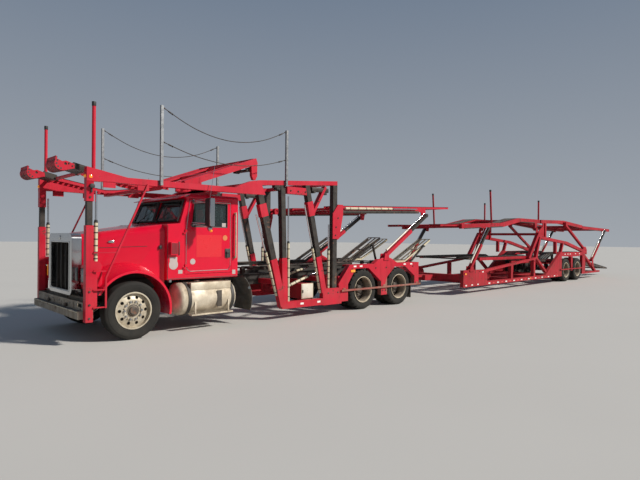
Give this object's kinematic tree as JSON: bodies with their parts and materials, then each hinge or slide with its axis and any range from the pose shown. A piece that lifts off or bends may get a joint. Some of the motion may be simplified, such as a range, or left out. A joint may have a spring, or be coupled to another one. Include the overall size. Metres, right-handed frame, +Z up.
{
  "type": "articulated car transporter truck",
  "caption": "Articulated car transporter: bonneted tractor with loading decks over and behind its cab and a hinged deck trailer, with steering, doors, tilting decks and a ramp.",
  "frame": {"origin": "on the ground, in the middle of the footprint's length and width", "axes": "+X forward along the vehicle, +Y to the driver's left, +Z up"},
  "size_m": [25.13, 2.78, 3.8],
  "materials": {
    "red_paint": "gloss, weathered",
    "black_paint": "satin, dusty",
    "dark_steel": "greased, worn",
    "galvanised": "hot-dip galvanised",
    "polished_aluminium": "polished, road film",
    "tyre": "worn tread",
    "glass": "clear tinted",
    "interior": "grained",
    "chrome": "polished",
    "white_paint": "gloss",
    "engine": "oily",
    "rubber": "matt"
  },
  "bodies": {
    "tractor": {"chassis_frame": "black_paint", "engine_block": "engine", "tractor_axles": "black_paint", "bonnet": "red_paint", "grille": "chrome", "front_bumper": "galvanised", "head_lamps": "chrome", "cab_shell": "red_paint", "cab_glass": "glass", "cab_interior": "interior", "fuel_tanks": "polished_aluminium", "wings_and_flaps": "polished_aluminium", "side_boxes": "white_paint", "rack_posts": "red_paint", "tower_collars": "red_paint", "head_arms": "dark_steel", "inner_posts": "dark_steel", "post_cylinders": "white_paint", "head_deck": "red_paint", "side_frames": "red_paint", "loading_tracks": "dark_steel", "line_posts": "galvanised", "safety_line_upper_left": "dark_steel", "safety_line_upper_right": "dark_steel", "safety_line_lower_left": "dark_steel", "safety_line_lower_right": "dark_steel"},
    "trailer": {"trailer_frame": "red_paint", "trailer_sides": "red_paint", "trailer_mid_deck": "red_paint", "trailer_axles": "black_paint", "trailer_tracks": "dark_steel"},
    "steer_left": {"knuckle_left": "engine"},
    "front_wheel_left": {"front_tyre_left": "tyre", "front_rim_left": "polished_aluminium"},
    "drive_wheel_a_left": {"drive_wheel_a_left": "tyre"},
    "drive_wheel_b_left": {"drive_wheel_b_left": "tyre"},
    "trailer_wheel_a_left": {"trailer_wheel_a_left": "tyre"},
    "trailer_wheel_b_left": {"trailer_wheel_b_left": "tyre"},
    "cab_door_left": {"door_left": "red_paint", "door_glass_left": "glass"},
    "steer_right": {"knuckle_right": "engine"},
    "front_wheel_right": {"front_tyre_right": "tyre", "front_rim_right": "polished_aluminium"},
    "drive_wheel_a_right": {"drive_wheel_a_right": "tyre"},
    "drive_wheel_b_right": {"drive_wheel_b_right": "tyre"},
    "trailer_wheel_a_right": {"trailer_wheel_a_right": "tyre"},
    "trailer_wheel_b_right": {"trailer_wheel_b_right": "tyre"},
    "cab_door_right": {"door_right": "red_paint", "door_glass_right": "glass"},
    "over_cab_ramp": {"cab_ramp": "red_paint"},
    "rear_upper_deck": {"rear_deck": "red_paint"},
    "rear_arm_barrels": {"rear_arm_barrels": "red_paint"},
    "rear_arm_rods": {"rear_arm_rods": "dark_steel"},
    "trailer_upper_deck": {"trailer_front_deck": "red_paint"},
    "front_arm_barrels": {"front_arm_barrels": "red_paint"},
    "front_arm_rods": {"front_arm_rods": "dark_steel"},
    "trailer_tail_deck": {"tail_deck": "red_paint"},
    "tail_arm_barrels": {"tail_arm_barrels": "red_paint"},
    "tail_arm_rods": {"tail_arm_rods": "dark_steel"},
    "loading_ramp": {"rear_ramp": "black_paint"}
  },
  "joints": [
    {"name": "steering_left", "type": "hinge", "parent": "tractor", "child": "steer_left", "pos_m": [11.435, 0.88, 0.465], "axis": [0, 0, 1], "range_deg": [-35, 35]},
    {"name": "front_wheel_left_spin", "type": "hinge", "parent": "steer_left", "child": "front_wheel_left", "pos_m": [11.435, 1.0425, 0.465], "axis": [0, 1, 0], "continuous": true},
    {"name": "drive_wheel_a_left_spin", "type": "hinge", "parent": "tractor", "child": "drive_wheel_a_left", "pos_m": [5.975, 0.9675, 0.465], "axis": [0, 1, 0], "continuous": true},
    {"name": "drive_wheel_b_left_spin", "type": "hinge", "parent": "tractor", "child": "drive_wheel_b_left", "pos_m": [4.62, 0.9675, 0.465], "axis": [0, 1, 0], "continuous": true},
    {"name": "trailer_wheel_a_left_spin", "type": "hinge", "parent": "trailer", "child": "trailer_wheel_a_left", "pos_m": [-6.515, 0.9675, 0.465], "axis": [0, 1, 0], "continuous": true},
    {"name": "trailer_wheel_b_left_spin", "type": "hinge", "parent": "trailer", "child": "trailer_wheel_b_left", "pos_m": [-7.765, 0.9675, 0.465], "axis": [0, 1, 0], "continuous": true},
    {"name": "door_left_hinge", "type": "hinge", "parent": "tractor", "child": "cab_door_left", "pos_m": [10.458, 1.013, 1.6], "axis": [0, 0, -1], "range_deg": [0, 70]},
    {"name": "steering_right", "type": "hinge", "parent": "tractor", "child": "steer_right", "pos_m": [11.435, -0.88, 0.465], "axis": [0, 0, 1], "range_deg": [-35, 35]},
    {"name": "front_wheel_right_spin", "type": "hinge", "parent": "steer_right", "child": "front_wheel_right", "pos_m": [11.435, -1.0425, 0.465], "axis": [0, 1, 0], "continuous": true},
    {"name": "drive_wheel_a_right_spin", "type": "hinge", "parent": "tractor", "child": "drive_wheel_a_right", "pos_m": [5.975, -0.9675, 0.465], "axis": [0, 1, 0], "continuous": true},
    {"name": "drive_wheel_b_right_spin", "type": "hinge", "parent": "tractor", "child": "drive_wheel_b_right", "pos_m": [4.62, -0.9675, 0.465], "axis": [0, 1, 0], "continuous": true},
    {"name": "trailer_wheel_a_right_spin", "type": "hinge", "parent": "trailer", "child": "trailer_wheel_a_right", "pos_m": [-6.515, -0.9675, 0.465], "axis": [0, 1, 0], "continuous": true},
    {"name": "trailer_wheel_b_right_spin", "type": "hinge", "parent": "trailer", "child": "trailer_wheel_b_right", "pos_m": [-7.765, -0.9675, 0.465], "axis": [0, 1, 0], "continuous": true},
    {"name": "door_right_hinge", "type": "hinge", "parent": "tractor", "child": "cab_door_right", "pos_m": [10.458, -1.013, 1.6], "axis": [0, 0, 1], "range_deg": [0, 70]},
    {"name": "cab_ramp_tilt", "type": "hinge", "parent": "tractor", "child": "over_cab_ramp", "pos_m": [10.505, 0, 2.57], "axis": [0, 1, 0], "range_deg": [-20, 8]},
    {"name": "trailer_yaw", "type": "hinge", "parent": "tractor", "child": "trailer", "pos_m": [2.435, 0, 0.46], "axis": [0, 0, 1], "range_deg": [-60, 60]},
    {"name": "rear_deck_tilt", "type": "hinge", "parent": "tractor", "child": "rear_upper_deck", "pos_m": [6.77, 0, 2.33], "axis": [0, 1, 0], "range_deg": [-2, 6]},
    {"name": "rear_arm_turn", "type": "hinge", "parent": "tractor", "child": "rear_arm_barrels", "pos_m": [5.135, 0, 1.235], "axis": [0, 1, 0], "range_deg": [-2.9, 8.3]},
    {"name": "rear_arm_reach", "type": "slide", "parent": "rear_arm_barrels", "child": "rear_arm_rods", "axis": [-0.8564, 0, 0.5163], "range_m": [-0.065, 0.192]},
    {"name": "trailer_deck_tilt", "type": "hinge", "parent": "trailer", "child": "trailer_upper_deck", "pos_m": [-3.865, 0, 2.06], "axis": [0, -1, 0], "range_deg": [-3.3, 2]},
    {"name": "front_arm_turn", "type": "hinge", "parent": "trailer", "child": "front_arm_barrels", "pos_m": [1.035, 0, 0.8], "axis": [0, 1, 0], "range_deg": [-5.8, 3.5]},
    {"name": "front_arm_reach", "type": "slide", "parent": "front_arm_barrels", "child": "front_arm_rods", "axis": [-0.6727, 0, 0.7399], "range_m": [-0.155, 0.094]},
    {"name": "tail_deck_tilt", "type": "hinge", "parent": "trailer", "child": "trailer_tail_deck", "pos_m": [-8.745, 0, 2.2], "axis": [0, 1, 0], "range_deg": [-18, 2]},
    {"name": "tail_arm_turn", "type": "hinge", "parent": "trailer", "child": "tail_arm_barrels", "pos_m": [-9.565, 0, 0.78], "axis": [0, 1, 0], "range_deg": [-18.2, 2.2]},
    {"name": "tail_arm_reach", "type": "slide", "parent": "tail_arm_barrels", "child": "tail_arm_rods", "axis": [-0.8, 0, 0.6], "range_m": [-0.515, 0.059]},
    {"name": "rear_ramp_tilt", "type": "hinge", "parent": "trailer", "child": "loading_ramp", "pos_m": [-8.985, 0, 0.7], "axis": [0, 1, 0], "range_deg": [-4.3, 12]}
  ],
  "couplings": [
    {"joint": "steering_right", "follows": "steering_left", "ratio": 1},
    {"joint": "rear_arm_turn", "follows": "rear_deck_tilt", "ratio": 1.352},
    {"joint": "rear_arm_reach", "follows": "rear_deck_tilt", "m_per_rad": 1.8214},
    {"joint": "front_arm_turn", "follows": "trailer_deck_tilt", "ratio": 1.6999},
    {"joint": "front_arm_reach", "follows": "trailer_deck_tilt", "m_per_rad": 2.6634},
    {"joint": "tail_arm_turn", "follows": "tail_deck_tilt", "ratio": 1.0009},
    {"joint": "tail_arm_reach", "follows": "tail_deck_tilt", "m_per_rad": 1.6347}
  ]
}
